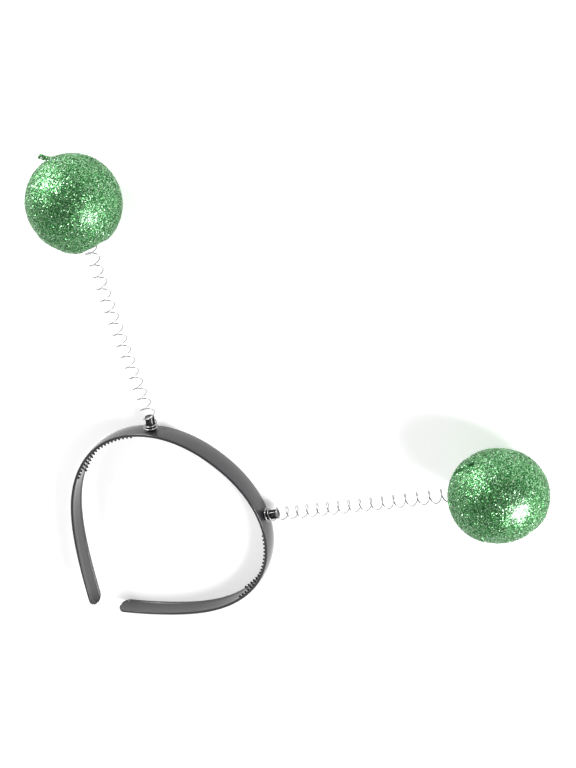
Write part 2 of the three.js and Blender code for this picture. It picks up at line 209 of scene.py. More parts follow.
class BallSettings(bpy.types.PropertyGroup):
    """Sizes and finish of the glitter balls."""

    radius: FloatProperty(
        name="Radius", description="Radius of a ball over its coat",
        default=(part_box("ball_right")[1][2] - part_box("ball_right")[0][2]) / 2, unit="LENGTH")
    coat: size("Coat", 0.35, "Thickness of the glitter coat")
    lump: size("Lumpiness", 0.5, "Height of the foam's unevenness")
    tail_length: size("Tail length", 6.5, "Length of the small tail on the left ball")
    tail_radius: size("Tail radius", 1.05, "Radius of the tail at its root")
    flakes: IntProperty(name="Flakes", description="Glitter flakes on a ball", default=42000, min=1)
    flake_radius: size("Flake radius", 0.27, "Radius of a six-sided flake")
    flake_tilt: FloatProperty(
        name="Flake tilt", description="How far most flakes lean",
        default=math.radians(9.5), subtype="ANGLE")
    loose_tilt: FloatProperty(
        name="Loose tilt", description="How far the loose flakes lean",
        default=math.radians(28), subtype="ANGLE")
    loose_share: FloatProperty(
        name="Loose share", description="Share of loose flakes",
        default=0.2, min=0, max=1, subtype="FACTOR")
    dark: colour("Dark glitter", (0.02, 0.12, 0.03), "Colour of the darkest flakes")
    middle: colour("Middle glitter", (0.15, 0.52, 0.17), "Colour of most flakes")
    light: colour("Light glitter", (0.58, 0.82, 0.58), "Colour of the lightest flakes")
    base: colour("Base coat", (0.03, 0.15, 0.04), "Colour under the flakes")


class StageSettings(bpy.types.PropertyGroup):
    """Floor, lights and camera."""

    floor_tint: colour("Floor colour", (0.9, 0.9, 0.9), "Colour of the table")
    softbox: size("Softbox", 350, "Side of a softbox")
    reach: size("Light distance", 900, "From the object to a softbox")


SETTINGS = {
    "bopper_band": BandSettings,
    "bopper_peg": PegSettings,
    "bopper_spring": SpringSettings,
    "bopper_ball": BallSettings,
    "bopper_stage": StageSettings,
}


def activate(piece):
    """Makes a piece the active object, and the only one that is selected."""
    bpy.ops.object.select_all(action="DESELECT")
    piece.select_set(True)
    bpy.context.view_layer.objects.active = piece


def added(name):
    """Names the object that an operator has just added."""
    piece = bpy.context.active_object
    piece.name = name
    piece.data.name = name
    return piece


def pick(piece, kind, test):
    """Selects the verts, edges or faces of a piece in edit mode that pass a test, and nothing else."""
    bpy.ops.mesh.select_all(action="DESELECT")
    bpy.ops.mesh.select_mode(type={"verts": "VERT", "edges": "EDGE", "faces": "FACE"}[kind])
    shape = bmesh.from_edit_mesh(piece.data)
    for item in getattr(shape, kind):
        item.select_set(bool(test(item)))
    shape.select_flush_mode()
    bmesh.update_edit_mesh(piece.data)


def runs_along(edge, axis):
    """Whether an edge runs along an axis, 0 for X, 1 for Y and 2 for Z."""
    way = edge.verts[1].co - edge.verts[0].co
    return abs(way[axis]) > 0.99 * way.length


def apply_modifiers(piece):
    """Puts all of a piece's modifiers into its mesh."""
    activate(piece)
    for modifier in list(piece.modifiers):
        bpy.ops.object.modifier_apply(modifier=modifier.name)


def apply_place(piece):
    """Puts a piece's place, turn and scale into its mesh."""
    activate(piece)
    bpy.ops.object.transform_apply(location=True, rotation=True, scale=True)


def finish_piece(piece, node, material, angle=40):
    """Smooths a piece, gives it its material, lets it ride on the body, and hides its node."""
    activate(piece)
    bpy.ops.object.mode_set(mode="EDIT")
    bpy.ops.mesh.select_all(action="SELECT")
    bpy.ops.mesh.normals_make_consistent(inside=False)
    bpy.ops.object.mode_set(mode="OBJECT")
    bpy.ops.object.shade_smooth_by_angle(angle=math.radians(angle))
    piece.data.materials.clear()
    piece.data.materials.append(material)
    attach(piece, BODY)
    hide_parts(node)


def band_line(band):
    """The middle line of the right arm from above: its points and headings at even steps."""
    shares = (np.arange(LINE_STEPS) + 0.5) / LINE_STEPS
    bends = np.interp(shares, BEND_ALONG, BEND_SHARE)
    turns = band.arm_turn * bends / bends.sum()
    heading = np.concatenate([[0], np.cumsum(turns)])
    middle = heading[:-1] + turns / 2
    step = band.arm_length / LINE_STEPS
    x = np.concatenate([[0], np.cumsum(step * np.cos(middle))])
    y = np.concatenate([[0], -np.cumsum(step * np.sin(middle))])
    return x, y, heading


def band_width(band, share):
    """The band's width at a share of its arm."""
    return np.interp(share, (0, 0.5, 1), (band.crown_width, band.arm_width, band.tip_width))


def band_rise(band, side, share):
    """How far the band's lower edge lies above the table."""
    risen = np.clip((share - band.spread_start) / (1 - band.spread_start), 0, 1)
    return band.tip_spread * risen**2 if side < 0 else 0 * risen


def peg_frame(band, peg, side):
    """The point on the band's outer face under a peg, and the direction in which the peg stands."""
    x, y, heading = band_line(band)
    share = peg.place / band.arm_length
    at = np.linspace(0, 1, LINE_STEPS + 1)
    turn = float(np.interp(share, at, heading))
    out = Vector((side * math.sin(turn), math.cos(turn), 0))
    low = Vector((side * float(np.interp(share, at, x)), float(np.interp(share, at, y)), 0))
    lift = float(band_rise(band, side, share)) + float(band_width(band, share)) / 2
    return low + UP * lift + out * band.outer_face, out


def straight_bar(band):
    """The band before it is bent: a bar along X with its outer face towards +Y."""
    squared = band.arm_length - band.tip_round
    bpy.ops.object.select_all(action="DESELECT")
    bpy.ops.mesh.primitive_cube_add(size=1, location=(0, band.outer_face - band.thickness / 2, 0))
    bar = added("headband_shell")
    bar.scale = (2 * squared, band.thickness, band.crown_width)
    apply_place(bar)
    bpy.ops.object.mode_set(mode="EDIT")
    for axis, cuts in ((0, SLICES - 1), (2, COLUMNS - 1)):
        pick(bar, "edges", lambda edge, axis=axis: runs_along(edge, axis))
        bpy.ops.mesh.subdivide(number_cuts=cuts)
    shape_section(bar, band)
    round_long_edges(bar, band)
    for side in (-1, 1):
        round_tip(bar, band, side, squared)
    bpy.ops.object.mode_set(mode="OBJECT")
    return bar


def column_height(band, column):
    """How far from the band's middle a line of the bar's mesh lies."""
    return band.crown_width * column / COLUMNS


def shape_section(bar, band):
    """Crowns the outer face, and raises the rails inside the edges."""
    edge = band.crown_width / 2
    near = band.crown_width / COLUMNS / 4
    for column in range(1, COLUMNS // 2 + 1):
        height = column_height(band, column)
        pick(bar, "verts", lambda v, h=height: v.co.y > 0 and abs(abs(v.co.z) - h) < near)
        drop = band.crowning * (height / edge) ** 2
        bpy.ops.transform.translate(value=(0, -drop, 0))
    rail_top = edge - band.rail_width
    rail_foot = rail_top - band.rail_height
    for column, wanted in ((3, rail_top), (2, rail_foot)):
        height = column_height(band, column)
        pick(bar, "verts", lambda v, h=height: v.co.y < 0 and abs(abs(v.co.z) - h) < near)
        bpy.ops.transform.resize(value=(1, 1, wanted / height), center_override=(0, 0, 0))
    pick(bar, "verts", lambda v: v.co.y < 0 and abs(v.co.z) > rail_top - near / 4)
    bpy.ops.transform.translate(value=(0, -band.rail_height, 0))


def round_long_edges(bar, band):
    """Rounds the eight long corners of the section."""
    edge = band.crown_width / 2
    rail_top = edge - band.rail_width
    tiny = 0.02 * MM
    corners = (edge, rail_top, rail_top - band.rail_height)

    def is_corner(item):
        if not runs_along(item, 0):
            return False
        place = item.verts[0].co
        if place.y > 0:
            return abs(abs(place.z) - edge) < tiny
        return any(abs(abs(place.z) - height) < tiny for height in corners)

    pick(bar, "edges", is_corner)
    bpy.ops.mesh.bevel(offset=band.edge_round, segments=3, affect="EDGES")


def round_tip(bar, band, side, squared):
    """Draws one end out to its rounded tip, and softens the edge of its end face."""
    half = band.crown_width / 2
    radius = band.tip_round * band.crown_width / band.tip_width
    reached, width = squared, half
    pick(bar, "faces", lambda face: side * face.calc_center_median().x > squared - 0.01 * MM)
    for step in range(1, TIP_STEPS + 1):
        turn = math.pi / 2 * step / TIP_STEPS
        place = squared + band.tip_round * math.sin(turn)
        narrowed = half - radius * (1 - math.cos(turn))
        bpy.ops.mesh.extrude_region_move(TRANSFORM_OT_translate={"value": (side * (place - reached), 0, 0)})
        bpy.ops.transform.resize(value=(1, 1, narrowed / width), center_override=(side * place, 0, 0))
        reached, width = place, narrowed
    bpy.ops.mesh.region_to_loop()
    bpy.ops.mesh.bevel(offset=band.edge_round / 2, segments=2, affect="EDGES", clamp_overlap=True)


def straight_teeth(band, peg):
    """Four rows of tapered teeth that stand on the rails of the straight bar and point to -Y."""
    root = band.outer_face - band.thickness - band.rail_height
    buried = 0.3 * MM
    tall = band.tooth_length + buried
    start = peg.place + band.teeth_start
    bpy.ops.object.select_all(action="DESELECT")
    bpy.ops.mesh.primitive_cube_add(
        size=1, location=(start, root + buried - tall / 2, band.crown_width / 2 - band.tooth_inset))
    teeth = added("grip_teeth")
    teeth.scale = (band.tooth_thickness, tall, band.tooth_thickness)
    apply_place(teeth)
    bpy.ops.object.mode_set(mode="EDIT")
    pick(teeth, "faces", lambda face: face.normal.y < -0.99)
    bpy.ops.transform.resize(value=(TOOTH_TIP, 1, TOOTH_TIP))
    bpy.ops.mesh.select_all(action="SELECT")
    bpy.ops.mesh.bevel(offset=TOOTH_BEVEL, segments=1, affect="EDGES")
    bpy.ops.object.mode_set(mode="OBJECT")
    row = teeth.modifiers.new("row", "ARRAY")
    row.count = int(band.teeth_run / band.tooth_pitch) + 1
    row.use_relative_offset = False
    row.use_constant_offset = True
    row.constant_offset_displace = (band.tooth_pitch, 0, 0)
    rows = teeth.modifiers.new("rows", "MIRROR")
    rows.use_axis = (True, False, True)
    rows.use_mirror_merge = False
    apply_modifiers(teeth)
    mask = teeth.data.attributes.new("tooth", "FLOAT", "POINT")
    mask.data.foreach_set("value", np.ones(len(teeth.data.vertices), dtype=np.float32))
    return teeth


def bend_bar(bar, band):
    """Gives the bar its width along its length, and bends it along the band's line."""
    count = len(bar.data.vertices)
    places = np.empty(count * 3)
    bar.data.vertices.foreach_get("co", places)
    places = places.reshape(-1, 3)
    width = band_width(band, np.abs(places[:, 0]) / band.arm_length)
    places[:, 2] = places[:, 2] * width / band.crown_width + width / 2
    places[:, 0] += band.arm_length
    bar.data.vertices.foreach_set("co", places.ravel())
    x, y, _ = band_line(band)
    shares = np.linspace(0, 1, LINE_STEPS + 1)
    left = np.stack([-x, y, band_rise(band, -1, shares)], axis=1)[:0:-1]
    right = np.stack([x, y, band_rise(band, 1, shares)], axis=1)
    route = curve_through("band_route", np.concatenate([left, right]))
    bend = bar.modifiers.new("bend", "CURVE")
    bend.object = route
    bend.deform_axis = "POS_X"
    apply_modifiers(bar)
    bpy.data.objects.remove(route)


def curve_through(name, points, radii=None):
    """A curve of one straight-sided spline through points."""
    data = bpy.data.curves.new(name, "CURVE")
    data.dimensions = "3D"
    data.twist_mode = "Z_UP"
    spline = data.splines.new("POLY")
    spline.points.add(len(points) - 1)
    rows = np.concatenate([points, np.ones((len(points), 1))], axis=1)
    spline.points.foreach_set("co", rows.ravel())
    if radii is not None:
        spline.points.foreach_set("radius", radii)
    curve = bpy.data.objects.new(name, data)
    bpy.context.scene.collection.objects.link(curve)
    return curve


def unit_vector(side, turn, dip):
    """A direction from a turn counted inwards from -Y and a dip below the level, both in degrees."""
    a, b = math.radians(turn), math.radians(dip)
    return Vector((-side * math.sin(a) * math.cos(b), -math.cos(a) * math.cos(b), -math.sin(b)))


def ball_centre(ball, side):
    """The middle of a ball: its node's box, without the tail that stands out of the left one."""
    low, high = (Vector(corner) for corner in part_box("ball_left" if side < 0 else "ball_right"))
    return Vector((high.x - ball.radius, (low.y + high.y) / 2, low.z + ball.radius))


def spring_entry(ball, spring):
    """Where a spring meets its ball, and the way that it points out of it."""
    outward = unit_vector(spring["side"], spring["entry_turn"], spring["entry_dip"])
    aim = unit_vector(spring["side"], spring["aim_turn"], spring["aim_dip"])
    return ball_centre(ball, spring["side"]) + outward * ball.radius, aim


def spring_route(settings, spring):
    """The middle line of a spring: up the peg, in one curve to the ball, and straight into it."""
    band, peg, coil, ball = settings
    foot, out = peg_frame(band, peg, spring["side"])
    foot = foot + out * (coil.clearance + coil.wire_radius + coil.coil_lift)
    top = foot + out * (peg.height - coil.coil_lift)
    entry, aim = spring_entry(ball, spring)
    end = entry - aim * (coil.socket_depth - coil.wire_radius - coil.clearance)
    handles = (top, top + out * coil.peg_reach, entry + aim * spring["ball_reach"] * coil.span, entry)
    t = np.linspace(0, 1, ROUTE_STEPS)[:, None]
    bent = sum(
        weight * np.array(point)
        for weight, point in zip(((1 - t) ** 3, 3 * t * (1 - t) ** 2, 3 * t * t * (1 - t), t**3), handles)
    )
    return np.concatenate([[np.array(foot)], bent, [np.array(end)]])


def coil_points(settings, spring):
    """The wire's middle line. The pitch opens from the close one round the peg to the open one."""
    band, peg, coil, ball = settings
    route = spring_route(settings, spring)
    steps = np.linalg.norm(np.diff(route, axis=0), axis=1)
    reached = np.concatenate([[0], np.cumsum(steps)])
    count = int(spring["turns"] * TURN_POINTS)
    share = np.linspace(0, 1, count + 1)
    turn = share * spring["turns"]
    opened = np.clip((turn - CLOSE_TURNS) / OPENING_TURNS, 0, 1)
    opened = opened**2 * (3 - 2 * opened) * (1 + spring["growth"] * (share - 0.5))
    climbed = np.concatenate([[0], np.cumsum((opened[1:] + opened[:-1]) / 2)])
    close = coil.close_pitch * spring["turns"] / reached[-1]
    place = (close * share + (1 - close) * climbed / climbed[-1]) * reached[-1]
    middle = np.stack([np.interp(place, reached, route[:, k]) for k in range(3)], axis=1)
    along = np.gradient(middle, axis=0)
    along /= np.linalg.norm(along, axis=1)[:, None]
    level = np.cross(along, np.array(UP))
    level /= np.linalg.norm(level, axis=1)[:, None]
    rising = np.cross(along, level)
    angle = 2 * math.pi * (spring["start"] + turn)[:, None]
    radius = peg.radius + coil.clearance + coil.wire_radius
    radius = (radius + coil.base_flare * np.clip(1 - turn, 0, 1))[:, None]
    return middle + radius * (np.cos(angle) * level + np.sin(angle) * rising)


def wire(name, points, radius, radii=None):
    """A round wire along points, with narrowed ends or given shares of its radius, as a closed mesh."""
    if radii is None:
        radii = np.ones(len(points))
        radii[0] = radii[-1] = WIRE_END
    curve = curve_through(name, points, radii)
    curve.data.twist_mode = "MINIMUM"
    curve.data.bevel_depth = radius
    curve.data.bevel_resolution = 3
    curve.data.use_fill_caps = True
    activate(curve)
    bpy.ops.object.convert(target="MESH")
    piece = added(name)
    bpy.ops.object.mode_set(mode="EDIT")
    bpy.ops.mesh.select_all(action="SELECT")
    bpy.ops.mesh.remove_doubles(threshold=1e-7)
    bpy.ops.object.mode_set(mode="OBJECT")
    return piece


def ribbed_peg(name, peg):
    """A ribbed peg along +Z that stands at the origin."""
    sunk = 0.1 * MM
    bpy.ops.object.select_all(action="DESELECT")
    bpy.ops.mesh.primitive_cylinder_add(
        vertices=peg.ribs * 4, radius=peg.radius, depth=peg.height + sunk,
        location=(0, 0, (peg.height - sunk) / 2))
    piece = added(name)
    apply_place(piece)
    bpy.ops.object.mode_set(mode="EDIT")

    def in_groove(face):
        if abs(face.normal.z) > 0.5:
            return False
        middle = face.calc_center_median()
        turned = math.degrees(math.atan2(middle.y, middle.x)) * peg.ribs / 360
        return 0.25 < turned % 1 < 0.75

    pick(piece, "faces", in_groove)
    bpy.ops.mesh.extrude_region_shrink_fatten(
        MESH_OT_extrude_region={}, TRANSFORM_OT_shrink_fatten={"value": -peg.groove})
    pick(piece, "faces", lambda face: face.normal.z > 0.99)
    bpy.ops.mesh.inset(thickness=PEG_RIM)
    bpy.ops.transform.translate(value=(0, 0, -PEG_HOLLOW))
    bpy.ops.object.mode_set(mode="OBJECT")
    soft = piece.modifiers.new("soft_edges", "BEVEL")
    soft.width = PEG_ROUNDING
    soft.segments = 2
    soft.limit_method = "ANGLE"
    soft.angle_limit = math.radians(28)
    apply_modifiers(piece)
    return piece


def polar(turn, rise):
    """A direction from a turn about +Z, counted from +X, and a rise above the level, both in degrees."""
    a, b = math.radians(turn), math.radians(rise)
    return Vector((math.cos(a) * math.cos(b), math.sin(a) * math.cos(b), math.sin(b)))


def press_in(piece, target, reach, depth):
    """Presses the surface round a point inwards, and smooths it there."""
    pick(piece, "verts", lambda v: (v.co - target).length < reach)
    bpy.ops.transform.shrink_fatten(value=-depth)
    pick(piece, "verts", lambda v: (v.co - target).length < reach * SMOOTH_REACH)
    bpy.ops.mesh.vertices_smooth(factor=0.5, repeat=4)


def crease_route(spring):
    """Directions from the middle of a ball to points along its crease."""
    marks = [polar(*mark) for mark in CREASES[spring["name"]]]
    steps = np.linspace(0, 1, CREASE_POINTS)
    return [a.slerp(b, step) for a, b in zip(marks, marks[1:]) for step in steps]


def off_crease(points, ball, spring):
    """How far points lie from a ball's crease, measured over its surface."""
    away = points - np.array(ball_centre(ball, spring["side"]))
    away /= np.linalg.norm(away, axis=1)[:, None]
    nearest = np.max(away @ np.array(crease_route(spring)).T, axis=1)
    return ball.radius * np.arccos(np.clip(nearest, -1, 1))


def cut_crease(piece, ball, spring):
    """Presses a narrow groove in along the crease, and raises a low lip beside it."""
    shape = bmesh.from_edit_mesh(piece.data)
    away = off_crease(np.array([v.co[:] for v in shape.verts]), ball, spring)
    for reach, depth in CREASE_STEPS:
        pick(piece, "verts", lambda v, reach=reach: away[v.index] < reach * MM)
        bpy.ops.transform.shrink_fatten(value=-depth * MM)


def swell_root(piece, ball, centre):
    """Draws the surface of the left ball out towards its tail."""
    foot = centre + polar(*TAIL_ROOT) * (ball.radius - ball.coat)
    pick(piece, "verts", lambda v: (v.co - foot).length < ball.tail_radius)
    bpy.ops.transform.translate(
        value=polar(*TAIL_ROOT) * ball.tail_radius, use_proportional_edit=True,
        proportional_edit_falloff="SMOOTH", proportional_size=4 * ball.tail_radius)


def tail_tubes(ball, centre):
    """The small forked tail of the left ball: a stub and two prongs, the upper one hooked."""
    root, aim = polar(*TAIL_ROOT), polar(*TAIL_AIM)
    across = aim.cross(UP).normalized()
    foot = centre + root * ball.radius
    fork = foot + (0.35 * root + aim) * ball.tail_length * 0.4
    tubes = (
        ("stub", (foot - root * 2 * MM, foot, foot + (fork - foot) * 0.6, fork), (1.5, 1.25, 1, 0.85)),
        ("hook", (fork, fork + (aim + across * 0.7) * 1.3 * MM, fork + (aim + across * 0.5) * 2.4 * MM,
                  fork + (aim * 1.1 - across * 0.1) * 3.1 * MM), (0.75, 0.65, 0.55, 0.45)),
        ("prong", (fork, fork + (aim - across * 0.5) * 1.2 * MM, fork + (aim - across * 0.3) * 2 * MM),
         (0.75, 0.6, 0.45)),
    )
    for name, points, radii in tubes:
        yield wire("tail_" + name, np.array(points), ball.tail_radius, np.array(radii))


def foam_ball(name, ball, spring):
    """The foam ball under its glitter: stretched, uneven, and pressed in where its spring enters."""
    centre = ball_centre(ball, spring["side"])
    entry, aim = spring_entry(ball, spring)
    radius = ball.radius - ball.coat
    squash = 1 / math.sqrt(spring["stretch"])
    bpy.ops.object.select_all(action="DESELECT")
    bpy.ops.mesh.primitive_ico_sphere_add(subdivisions=6, radius=radius)
    piece = added(name)
    piece.scale = (spring["stretch"], squash, squash)
    piece.rotation_euler = (0, 0, math.atan2(aim.y, aim.x))
    piece.location = centre - UP * (1 - squash) * ball.radius
    apply_place(piece)
    clouds = bpy.data.textures.new(name + "_unevenness", "CLOUDS")
    clouds.noise_scale = LUMP_SPACING
    uneven = piece.modifiers.new("unevenness", "DISPLACE")
    uneven.texture = clouds
    uneven.texture_coords = "LOCAL"
    uneven.strength = ball.lump
    uneven.mid_level = LUMP_LEVEL
    apply_modifiers(piece)
    bpy.ops.object.mode_set(mode="EDIT")
    inward = centre + (entry - centre).normalized() * radius
    for reach in HOLLOW_REACHES:
        press_in(piece, inward, reach * MM, HOLLOW_PRESS)
    for turn, rise, reach, depth in DENTS[spring["name"]]:
        press_in(piece, centre + polar(turn, rise) * radius, reach * MM, depth * MM)
    if CREASES[spring["name"]]:
        cut_crease(piece, ball, spring)
    if spring["side"] < 0:
        swell_root(piece, ball, centre)
    bpy.ops.object.mode_set(mode="OBJECT")
    if spring["side"] < 0:
        tubes = list(tail_tubes(ball, centre))
        activate(piece)
        for tube in tubes:
            tube.select_set(True)
        bpy.ops.object.join()
    return piece


def flake_arrays(base, ball, spring, seed):
    """Places six-sided flakes at random on a base mesh: their corners, base normals, tints and glue."""
    rng = np.random.default_rng(seed)
    mesh = base.data
    mesh.calc_loop_triangles()
    corners = np.empty(len(mesh.vertices) * 3)
    mesh.vertices.foreach_get("co", corners)
    faces = np.empty(len(mesh.loop_triangles) * 3, dtype=np.int32)
    mesh.loop_triangles.foreach_get("vertices", faces)
    a, b, c = corners.reshape(-1, 3)[faces.reshape(-1, 3).T]
    across = np.cross(b - a, c - a)
    area = np.linalg.norm(across, axis=1)
    face = rng.choice(len(area), ball.flakes, p=area / area.sum())
    u, v = rng.random((2, ball.flakes, 1))
    u, v = np.where(u + v > 1, 1 - u, u), np.where(u + v > 1, 1 - v, v)
    normal = across[face] / area[face][:, None]
    middle = a[face] + u * (b - a)[face] + v * (c - a)[face]
    middle += normal * rng.uniform(*FLAKE_HEIGHTS, (ball.flakes, 1)) * ball.coat * FLAKE_LAYER
    tilt = np.where(rng.random((ball.flakes, 1)) < ball.loose_share, ball.loose_tilt, ball.flake_tilt)
    lean = normal + tilt * rng.normal(size=(ball.flakes, 3))
    lean /= np.linalg.norm(lean, axis=1)[:, None]
    side = np.cross(lean, rng.normal(size=(ball.flakes, 3)))
    side /= np.linalg.norm(side, axis=1)[:, None]
    other = np.cross(lean, side)
    wide = ball.flake_radius * rng.uniform(*FLAKE_SPREAD, (ball.flakes, 1, 1))
    angle = np.arange(FLAKE_SIDES)[None, :, None] * 2 * math.pi / FLAKE_SIDES
    ring = middle[:, None] + wide * (np.cos(angle) * side[:, None] + np.sin(angle) * other[:, None])
    turn, rise, strength = GLUE_PATCH[spring["name"]]
    away = np.arccos(np.clip(normal @ np.array(polar(turn, rise)), -1, 1))
    glue = strength * np.clip((GLUE_FADE - away) / (GLUE_FADE - GLUE_FULL), 0, 1)
    tint = rng.random(ball.flakes)
    # Flakes are left off the crease, so that its darker base coat shows as painted shade in the groove.
    off_shaded_crease = clear_of_crease(middle, ball, spring)
    return ring[off_shaded_crease].reshape(-1, 3), normal[off_shaded_crease], tint[off_shaded_crease], glue[off_shaded_crease]


def clear_of_crease(points, ball, spring):
    """Which points lie clear of a ball's crease, which is left bare of flakes so that its darker base coat is
    painted shade.
    """
    if not CREASES[spring["name"]]:
        return np.ones(len(points), dtype=bool)
    return off_crease(points, ball, spring) > BARE_CREASE


def glitter(name, base, ball, spring, seed):
    """The flakes of one ball, joined into one mesh, each with its own tint and the ball's own normal."""
    corners, normals, tints, glue = flake_arrays(base, ball, spring, seed)
    mesh = bpy.data.meshes.new(name)
    mesh.vertices.add(len(corners))
    mesh.vertices.foreach_set("co", corners.ravel())
    mesh.loops.add(len(corners))
    mesh.loops.foreach_set("vertex_index", np.arange(len(corners), dtype=np.int32))
    mesh.polygons.add(len(tints))
    mesh.polygons.foreach_set("loop_start", np.arange(len(tints), dtype=np.int32) * FLAKE_SIDES)
    mesh.update(calc_edges=True)
    for label, values in (("flake_tint", tints), ("glue_film", glue)):
        layer = mesh.attributes.new(label, "FLOAT", "POINT")
        layer.data.foreach_set("value", np.repeat(values, FLAKE_SIDES).astype(np.float32))
    layer = mesh.attributes.new("ball_normal", "FLOAT_VECTOR", "POINT")
    spread = np.repeat(normals, FLAKE_SIDES, axis=0).astype(np.float32)
    layer.data.foreach_set("vector", spread.ravel())
    piece = bpy.data.objects.new(name, mesh)
    bpy.context.scene.collection.objects.link(piece)
    return piece


def node_group(name, inputs, outputs):
    """An empty shader node group with named sockets, given as name, kind and default."""
    group = bpy.data.node_groups.new(name, "ShaderNodeTree")
    for label, kind, default in inputs:
        socket = group.interface.new_socket(label, in_out="INPUT", socket_type=kind)
        socket.default_value = default
    for label, kind in outputs:
        group.interface.new_socket(label, in_out="OUTPUT", socket_type=kind)
    return group, group.nodes.new("NodeGroupInput"), group.nodes.new("NodeGroupOutput")


def add_node(tree, kind, links=(), **values):
    """Adds a shader node, sets its values by name, and links its inputs to other nodes' sockets."""
    node = tree.nodes.new(kind)
    for name, value in values.items():
        if hasattr(node, name):
            setattr(node, name, value)
        else:
            node.inputs[name.replace("_", " ")].default_value = value
    for name, source in links:
        tree.links.new(source, node.inputs[name])
    return node


def moulded_surface():
    """Fine grain and faint handling scratches of moulded plastic, as a mask and a height."""
    group, given, result = node_group(
        "moulded_surface",
        (("Grain Scale", "NodeSocketFloat", 900.0), ("Scratch Scale", "NodeSocketFloat", 60.0),
         ("Scratch Amount", "NodeSocketFloat", 0.5)),
        (("Mask", "NodeSocketFloat"), ("Height", "NodeSocketFloat")))
    place = add_node(group, "ShaderNodeTexCoord").outputs["Object"]
    grain = add_node(
        group, "ShaderNodeTexNoise",
        (("Vector", place), ("Scale", given.outputs["Grain Scale"])), Detail=2.0)
    stretch = add_node(group, "ShaderNodeMapping", (("Vector", place),), Scale=(1, 7, 3))
    lines = add_node(
        group, "ShaderNodeTexNoise",
        (("Vector", stretch.outputs[0]), ("Scale", given.outputs["Scratch Scale"])),
        Detail=6.0, Roughness=0.7)
    sharp = add_node(group, "ShaderNodeMapRange", (("Value", lines.outputs[0]),))
    sharp.inputs["From Min"].default_value = 0.55
    sharp.inputs["From Max"].default_value = 0.72
    mask = add_node(group, "ShaderNodeMath", ((0, sharp.outputs[0]), (1, given.outputs["Scratch Amount"])),
                    operation="MULTIPLY")
    height = add_node(group, "ShaderNodeMath", ((0, grain.outputs[0]), (1, mask.outputs[0])), operation="ADD")
    group.links.new(mask.outputs[0], result.inputs["Mask"])
    group.links.new(height.outputs[0], result.inputs["Height"])
    return group


def new_material(name, **values):
    """A material with a Principled BSDF whose constants are set on its own sockets."""
    material = bpy.data.materials.new(name)
    material.use_nodes = True
    tree = material.node_tree
    shader = tree.nodes["Principled BSDF"]
    for label, value in values.items():
        shader.inputs[label.replace("_", " ")].default_value = value
    return material, tree, shader


def plastic(name, tint, roughness, surface, scratch):
    """Satin moulded plastic with a smooth skin, fine grain, faint scratches and slightly uneven gloss."""
    material, tree, shader = new_material(
        name, Specular_IOR_Level=0.2, Coat_Weight=1.0, Coat_Roughness=0.12)
    marks = add_node(tree, "ShaderNodeGroup", node_tree=surface)
    marks.inputs["Scratch Amount"].default_value = scratch
    place = add_node(tree, "ShaderNodeTexCoord").outputs["Object"]
    cloud = add_node(tree, "ShaderNodeTexNoise", (("Vector", place),), Scale=45.0, Detail=3.0)
    gloss = add_node(tree, "ShaderNodeMapRange", (("Value", cloud.outputs[0]),))
    gloss.inputs["To Min"].default_value = roughness * 0.85
    gloss.inputs["To Max"].default_value = roughness * 1.2
    worn = add_node(tree, "ShaderNodeMath", ((0, marks.outputs["Mask"]), (2, gloss.outputs[0])),
                    operation="MULTIPLY_ADD")
    worn.inputs[1].default_value = 0.12
    shade = add_node(tree, "ShaderNodeMix", data_type="RGBA")
    tree.links.new(cloud.outputs[0], shade.inputs["Factor"])
    shade.inputs[6].default_value = (*[channel * 0.82 for channel in tint], 1)
    shade.inputs[7].default_value = (*[channel * 1.15 for channel in tint], 1)
    bump = add_node(tree, "ShaderNodeBump", (("Height", marks.outputs["Height"]),), Strength=0.12)
    bump.inputs["Distance"].default_value = 0.05 * MM
    tree.links.new(worn.outputs[0], shader.inputs["Roughness"])
    tree.links.new(shade.outputs[2], shader.inputs["Base Color"])
    tree.links.new(bump.outputs[0], shader.inputs["Normal"])
    return material


def dull_and_shade_teeth(material):
    """Leaves the grip teeth of the band without its smooth skin, and paints shade on them: their colour is
    darker than the rest.
    """
    tree = material.node_tree
    shader = tree.nodes["Principled BSDF"]
    teeth = add_node(tree, "ShaderNodeAttribute", attribute_name="tooth").outputs["Fac"]
    skin = add_node(tree, "ShaderNodeMapRange", (("Value", teeth),), To_Min=1.0, To_Max=0.0)
    # Painted shade: the teeth's colour is scaled down to 0.3 of the band's.
    depth = add_node(tree, "ShaderNodeMapRange", (("Value", teeth),), To_Min=1.0, To_Max=0.3)
    shade = shader.inputs["Base Color"].links[0].from_socket
    dark = add_node(
        tree, "ShaderNodeVectorMath", ((0, shade), ("Scale", depth.outputs[0])), operation="SCALE")
    tree.links.new(skin.outputs[0], shader.inputs["Coat Weight"])
    tree.links.new(dark.outputs[0], shader.inputs["Base Color"])


def steel(name, tint, surface):
    """Bright drawn wire with fine draw marks."""
    material, tree, shader = new_material(name, Metallic=1.0)
    marks = add_node(tree, "ShaderNodeGroup", node_tree=surface)
    marks.inputs["Grain Scale"].default_value = 2500.0
    marks.inputs["Scratch Scale"].default_value = 240.0
    gloss = add_node(tree, "ShaderNodeMapRange", (("Value", marks.outputs["Mask"]),))
    gloss.inputs["To Min"].default_value = 0.3
    gloss.inputs["To Max"].default_value = 0.45
    shade = add_node(tree, "ShaderNodeMix", data_type="RGBA")
    tree.links.new(marks.outputs["Mask"], shade.inputs["Factor"])
    shade.inputs[6].default_value = (*tint, 1)
    shade.inputs[7].default_value = (*[channel * 0.7 for channel in tint], 1)
    tree.links.new(gloss.outputs[0], shader.inputs["Roughness"])
    tree.links.new(shade.outputs[2], shader.inputs["Base Color"])
    return material


